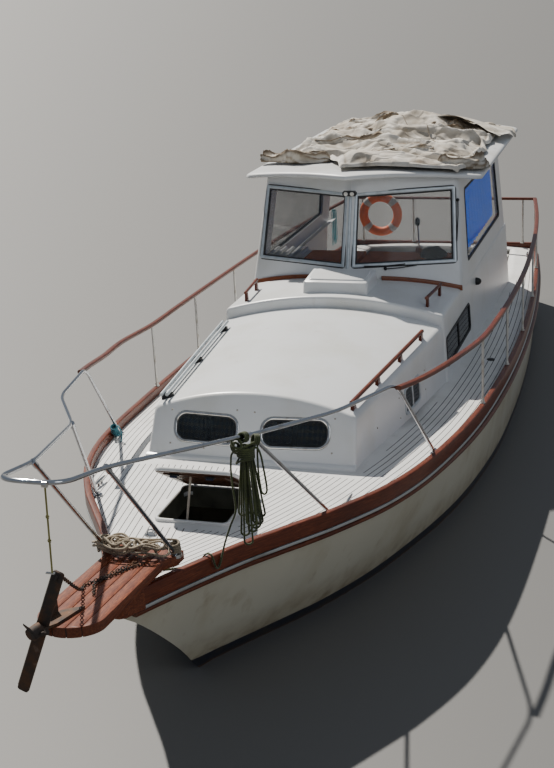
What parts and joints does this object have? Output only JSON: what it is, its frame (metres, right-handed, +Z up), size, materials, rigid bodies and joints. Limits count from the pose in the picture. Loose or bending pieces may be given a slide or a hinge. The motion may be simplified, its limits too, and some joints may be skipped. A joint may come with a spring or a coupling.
{
  "type": "motor yacht",
  "caption": "Cabin motor yacht with planked foredeck, low trunk cabin, raised wheelhouse, wood handrails, stainless pulpit, open foredeck hatch and stowed anchor.",
  "frame": {"origin": "on the centreline at the waterline, amidships", "axes": "+Z up, +Y towards the stern, +X to port, so the bow points along -Y"},
  "size_m": [2.976, 10.9172, 3.3055],
  "materials": {
    "hull_gelcoat": "aged satin",
    "deck_paint": "grooved, satin",
    "cabin_gelcoat": "satin",
    "bottom_paint": "matt",
    "varnished_wood": "varnished",
    "planked_wood": "varnished",
    "stainless": "polished",
    "aluminium": "anodised",
    "black_frame": "satin",
    "glass": "clear",
    "bronze": "dull",
    "iron": "galvanised, worn",
    "engine_paint": "satin",
    "vinyl": "satin",
    "wheel_black": "satin",
    "buoy_orange": "matt",
    "rope_green": "twisted",
    "rope_beige": "twisted",
    "rope_cyan": "twisted",
    "canvas": "crumpled",
    "cloth_blue": "woven"
  },
  "bodies": {
    "hull": {"anchor": "iron", "bow_platform": "planked_wood", "cabin_sole": "planked_wood", "cabin_trunk": "cabin_gelcoat", "cabin_window_port": "black_frame", "cabin_window_starboard": "black_frame", "cockpit_liner": "cabin_gelcoat", "dash": "planked_wood", "deck": "deck_paint", "engine": "engine_paint", "fore_bulkhead": "cabin_gelcoat", "front_window_frame_port": "stainless", "front_window_frame_starboard": "stainless", "front_window_glass_port": "glass", "front_window_glass_starboard": "glass", "grab_rail_port": "varnished_wood", "hatch_box": "cabin_gelcoat", "hatch_coaming": "cabin_gelcoat", "helm_seat": "vinyl", "house_window_frame_port": "black_frame", "house_window_frame_starboard": "black_frame", "house_window_glass_port": "glass", "house_window_glass_starboard": "glass", "hull": "hull_gelcoat", "keel": "bottom_paint", "main_bulkhead": "planked_wood", "pulpit": "stainless", "raised_cabin": "cabin_gelcoat", "ring_buoy": "buoy_orange", "roof": "cabin_gelcoat", "roof_cover": "canvas", "rope_hank_cyan": "rope_cyan", "rope_hank_green": "rope_green", "rope_heap": "rope_beige", "rub_strake_port": "varnished_wood", "rub_strake_starboard": "varnished_wood", "short_rail_port": "varnished_wood", "short_rail_starboard": "varnished_wood", "side_rail_port": "varnished_wood", "side_rail_starboard": "varnished_wood", "stern_bench": "cabin_gelcoat", "stern_rail": "varnished_wood", "toe_rail": "varnished_wood", "trunk_window_port": "aluminium", "trunk_window_starboard": "aluminium", "twin_bars_starboard": "aluminium", "wheelhouse": "cabin_gelcoat", "window_cloth": "cloth_blue", "windscreen_frame_port": "aluminium", "windscreen_frame_starboard": "aluminium", "windscreen_glass_port": "glass", "windscreen_glass_starboard": "glass"},
    "propeller": {"propeller": "bronze"},
    "rudder": {"rudder": "bottom_paint"},
    "steering_wheel": {"steering_wheel": "wheel_black"},
    "hatch_lid": {"hatch_lid": "cabin_gelcoat", "hatch_stay": "planked_wood"},
    "sole_hatch": {"sole_hatch": "planked_wood"},
    "cabin_door": {"cabin_door": "planked_wood"}
  },
  "joints": [
    {"name": "propeller_spin", "type": "hinge", "parent": "hull", "child": "propeller", "pos_m": [0, 2.44, -0.15], "axis": [0, 0.9769, -0.2139], "continuous": true},
    {"name": "rudder_turn", "type": "hinge", "parent": "hull", "child": "rudder", "pos_m": [0, 4.62, -0.5], "axis": [0, 0, 1], "range_deg": [-35, 35]},
    {"name": "wheel_turn", "type": "hinge", "parent": "hull", "child": "steering_wheel", "pos_m": [0.5, 1.135, 1.13], "axis": [0, 1, 0], "range_deg": [-450, 450]},
    {"name": "hatch_lid_hinge", "type": "hinge", "parent": "hull", "child": "hatch_lid", "pos_m": [0, -3.374, 1.01273], "axis": [-1, 0, 0], "range_deg": [-31, 55]},
    {"name": "sole_hatch_hinge", "type": "hinge", "parent": "hull", "child": "sole_hatch", "pos_m": [0, 1.476, 0.33], "axis": [1, 0, 0], "range_deg": [0, 75]},
    {"name": "door_hinge", "type": "hinge", "parent": "hull", "child": "cabin_door", "pos_m": [-0.324, 0.617, 0.83], "axis": [0, 0, 1], "range_deg": [0, 90]}
  ],
  "couplings": [
    {"joint": "wheel_turn", "follows": "rudder_turn", "ratio": -12.857}
  ]
}
